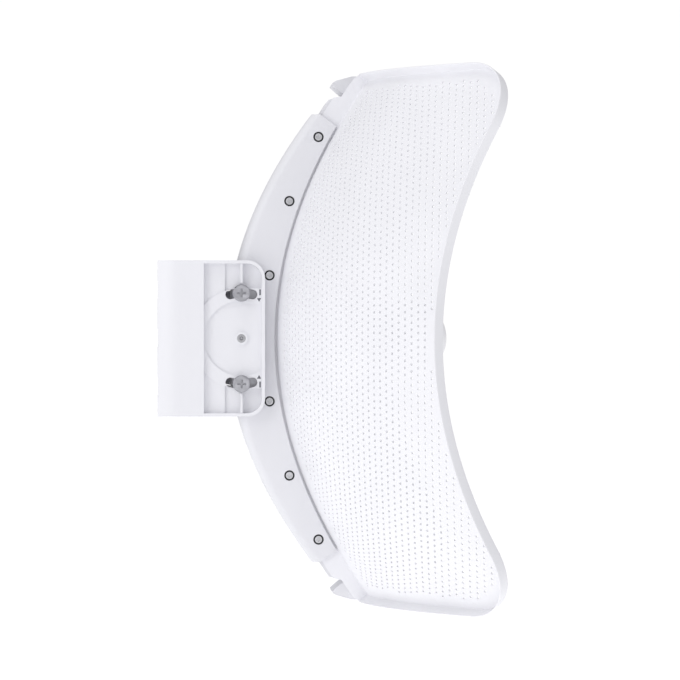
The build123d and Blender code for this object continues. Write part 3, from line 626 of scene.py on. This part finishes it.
flange = {
    "depth": 0.0170, "endDepth": 0.0119, "notchZ": 0.1663, "bend": 0.0014, "outerY": 0.0320,
    "rootZ": (0.1700, 0.1735, 0.1774),     # rows at each end: height at the panel
    "freeZ": (0.1712, 0.1792, 0.1818),     # and at the free edge
    "cornerBack": 0.0083,                  # last row: its free corner behind the dish
    "cornerLean": 0.816,                   # cosine of the lip's slope there
    "plainRows": 46,
    "notchHalf": 0.0004,
    "reach": 0.0062,                       # how far its strip covers the panel
}


def flangeMesh():
    # the strip bent to the rear: a section of panel edge, bend and flange carried up the spine
    bend, outer, sheet, notch = flange["bend"], flange["outerY"], dish["sheet"], flange["notchZ"]
    plain = np.linspace(0, notch - 0.004, flange["plainRows"])
    step = [notch - flange["notchHalf"], notch + flange["notchHalf"]]
    upper = np.concatenate([plain, step, flange["rootZ"]])
    free = np.concatenate([upper[:-3], flange["freeZ"]])
    depth = np.where(upper > notch, flange["endDepth"], flange["depth"])
    depth[-1] = flange["cornerBack"] * flange["cornerLean"] + (free[-1] ** 2 - upper[-1] ** 2) / dish["fourF"]
    rootZ, freeZ = np.concatenate([-upper[:0:-1], upper]), np.concatenate([-free[:0:-1], free])
    depth = np.concatenate([depth[:0:-1], depth])
    freeX = dish["vertex"] + (outer ** 2 + freeZ ** 2) / dish["fourF"] - depth
    a, legs = np.linspace(0, math.pi / 2, 7), np.linspace(0.15, 1, 6)
    sheets = []
    for inset in (0.0, sheet):          # the side that faces the bowl, then the one that faces the housing
        r = bend - inset
        bendY = outer - sheet + bend - r * np.sin(a)
        rowY = np.concatenate([np.linspace(outer + flange["reach"], bendY[0], 3)[:-1], bendY])
        flat = -inset - lip["proud"] if inset else lip["proud"]
        rowX = np.concatenate([np.full(2, flat), -bend + r * np.cos(a)])
        y = np.concatenate([rowY, np.full(len(legs), bendY[-1])])[None, :].repeat(len(rootZ), 0)
        z = rootZ[:, None].repeat(len(rowY), 1)
        rise = (np.maximum(y[:, :len(rowY)], outer) ** 2 + z * z) / dish["fourF"]
        x = dish["vertex"] + rise + rowX[None, :]
        legX = x[:, -1:] + (freeX[:, None] - x[:, -1:]) * legs[None, :]
        legZ = rootZ[:, None] + (freeZ - rootZ)[:, None] * legs[None, :]
        sheets.append(np.stack([np.concatenate([x, legX], 1), y, np.concatenate([z, legZ], 1)], -1))
    rows, columns = sheets[0].shape[:2]
    return thicken(sheets[0].reshape(-1, 3), sheets[1].reshape(-1, 3), gridFaces(rows, columns))


def mirrorY(points, faces):
    flipped = points * np.array([1, -1, 1])
    return flipped, [list(f)[::-1] for f in faces]


def makeWings():
    y, z, faces, holeCount = panelFaces()
    front = onDish(y, z, np.full(len(y), 0.0))
    back = onDish(y, z, np.full(len(y), dish["sheet"]))
    panel = thicken(front, back, faces)
    points, allFaces = weld([panel, lipMesh(), flangeMesh()])
    print("holes in a wing:", holeCount, "faces:", len(allFaces))
    look = ("powder", "wing_paint", "antenna")
    left = addPiece("wingLeft", points, allFaces, *look, ["reflector_wing_left"])
    right = addPiece("wingRight", *mirrorY(points, allFaces), *look, ["reflector_wing_right"])
    for piece in (left, right):
        faceOutwards(piece)
        piece.data.set_sharp_from_angle(angle=sharpFrom)


makeWings()
print("wings made")


# ---- moulded pieces with softened edges ----
softened = {   # node: (new name, edge radius, least angle)
    "pole_bracket": ("bracketBody", 0.00050, 28),
    "rear_housing": ("housingShell", 0.00040, 28),
    "centre_column": ("columnBody", 0.00035, 30),
    "tilt_bolt_upper": ("boltUpper", 0.00028, 28),
    "tilt_bolt_lower": ("boltLower", 0.00028, 28),
    "housing_screws_left": ("screwsLeft", 0.00012, 30),
    "housing_screws_right": ("screwsRight", 0.00012, 30),
    "port_door": ("doorPanel", 0.00025, 30),
}


def soften(nodeName):
    # a merged copy of the node's mesh, flat areas made whole, edges rounded by a bevel
    newName, radius, angle = softened[nodeName]
    mesh = nodes[nodeName].data.copy()
    mesh.name = newName
    bm = bmesh.new()
    bm.from_mesh(mesh)
    bmesh.ops.remove_doubles(bm, verts=bm.verts, dist=2e-6)
    bmesh.ops.dissolve_limit(bm, angle_limit=math.radians(0.4), verts=bm.verts, edges=bm.edges)
    bmesh.ops.dissolve_degenerate(bm, dist=1e-6, edges=bm.edges)
    bm.to_mesh(mesh)
    bm.free()
    piece = bpy.data.objects.new(newName, mesh)
    bpy.context.scene.collection.objects.link(piece)
    mesh.shade_smooth()
    mesh.set_sharp_from_angle(angle=math.radians(angle))
    bevel = piece.modifiers.new("edges", "BEVEL")
    bevel.width, bevel.segments = radius, 2
    bevel.limit_method, bevel.angle_limit = "ANGLE", math.radians(angle)
    bevel.harden_normals = True
    bevel.miter_outer = "MITER_ARC"
    bevel.use_clamp_overlap = True
    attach(piece, nodes[nodeName]["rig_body"])
    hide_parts(nodeName)
    return piece


for nodeName in softened:
    soften(nodeName)
print("softened pieces made")


# ---- small marks on the cheeks, and dark rings of painted shade under the screw heads ----
marks = {
    "pivotX": 0.0625,
    "face": 0.0404,           # the raised ring's face, out from the middle
    "ink": 0.00003,
    "bar": (0.0753, 0.0316, 0.0011, 0.0040),        # x, z, width, height
    "arrow": (0.0746, 0.0268, 0.0017),              # x, z, radius
    "tickRadius": (0.0216, 0.0240),
    "discFace": 0.0390,
    "relief": 0.00022,
    "tickWidth": 0.0005,
    "tickStep": 5,            # degrees
    "shortTick": 0.6,
    "sunk": 0.0001,           # every mark starts this far inside its face
    "merge": 1e-6,
}


def block(x, z, width, height, low, high, turn=0.0):
    # a small block standing out from a cheek, turned about its middle
    c, s = math.cos(turn), math.sin(turn)
    corners = np.array([(-1, -1), (1, -1), (1, 1), (-1, 1)]) * np.array([width, height]) / 2
    across, up = corners[:, 0] * c - corners[:, 1] * s + x, corners[:, 0] * s + corners[:, 1] * c + z
    points = np.concatenate([np.stack([across, np.full(4, y), up], -1) for y in (low, high)])
    return points, [[0, 1, 2, 3], [7, 6, 5, 4], [0, 4, 5, 1], [1, 5, 6, 2], [2, 6, 7, 3], [3, 7, 4, 0]]


def makeMarks():
    low, high = marks["face"] - marks["sunk"], marks["face"] + marks["ink"]
    face = marks["discFace"]
    inks, ticks = [], []
    for sign in (-1, 1):
        x, z, width, height = marks["bar"]
        inks.append(block(x, sign * z, width, height, low, high))
        x, z, r = marks["arrow"]
        turn = np.radians(np.array([-90, 30, 150])) * sign
        corners = np.stack([x + r * np.cos(turn), np.zeros(3), sign * z + r * np.sin(turn)], -1)
        points = np.concatenate([corners + [0, y, 0] for y in (low, high)])
        inks.append((points, [[0, 1, 2], [5, 4, 3], [0, 3, 4, 1], [1, 4, 5, 2], [2, 5, 3, 0]]))
        inner, outer = marks["tickRadius"]
        r = (inner + outer) / 2
        for step in range(-4, 5):
            a = math.radians(step * marks["tickStep"])
            length = (outer - inner) * (1.0 if step % 2 == 0 else marks["shortTick"])
            x, z = marks["pivotX"] + r * math.sin(a), sign * r * math.cos(a)
            foot, top = face - marks["sunk"], face + marks["relief"]
            ticks.append(block(x, z, marks["tickWidth"], length, foot, top, -a * sign))
    for side, name in ((1, "Left"), (-1, "Right")):
        for kind, pieces, finishName in (("inkMarks", inks, "ink"), ("tiltScale", ticks, "bracket")):
            points, faces = weld(pieces)
            placed = points * np.array([1, side, 1])
            piece = addPiece(kind + name, placed, faces, finishName, "bracket_plastic", "mount")
            faceOutwards(piece, marks["merge"])


# painted shade: a thin black ring on each counterbore floor stands in for the shadow there
shadeRings = {
    "heights": (0.0421, 0.0918, 0.1350),
    "setBack": 0.0076,        # behind the dish, square to it
    "seatY": 0.0331,
    "inner": 0.00256,
    "outer": 0.00352,
    "thick": 0.0005,
    "steps": 40,
}


def makeShadeRings():
    # a flat dark ring at the bottom of every counterbore, painted shade for the counterbore's shadow; screws
    # stand square to the dish's curve
    steps = shadeRings["steps"]
    t = np.linspace(0, 2 * math.pi, steps, endpoint=False)
    section = [(shadeRings["inner"], 0), (shadeRings["inner"], 1), (shadeRings["outer"], 1), (shadeRings["outer"], 0)]
    rings = []
    for height in shadeRings["heights"]:
        for z in (-height, height):
            slope = 2 * z / dish["fourF"]
            lean = math.sqrt(1 + slope * slope)
            x = dish["vertex"] + z * z / dish["fourF"] - shadeRings["setBack"] / lean
            middle = z + shadeRings["setBack"] * slope / lean
            rows = []
            for r, up in section:
                y = np.full(steps, shadeRings["seatY"] + up * shadeRings["thick"])
                rows.append(np.stack([x + r * np.cos(t), y, middle + r * np.sin(t)], -1))
            rings.append((np.concatenate(rows), gridFaces(len(section), steps, True, True)))
    points, faces = weld(rings)
    for side, name in ((1, "Left"), (-1, "Right")):
        placed = points * np.array([1, side, 1])
        # the rings take the black rubber finish to paint that shadow
        piece = addPiece("screwShadeRings" + name, placed, faces, "sealRubberAndShade", "seal_rubber", "antenna")
        faceOutwards(piece, marks["merge"])


makeMarks()
makeShadeRings()
print("marks and seals made")
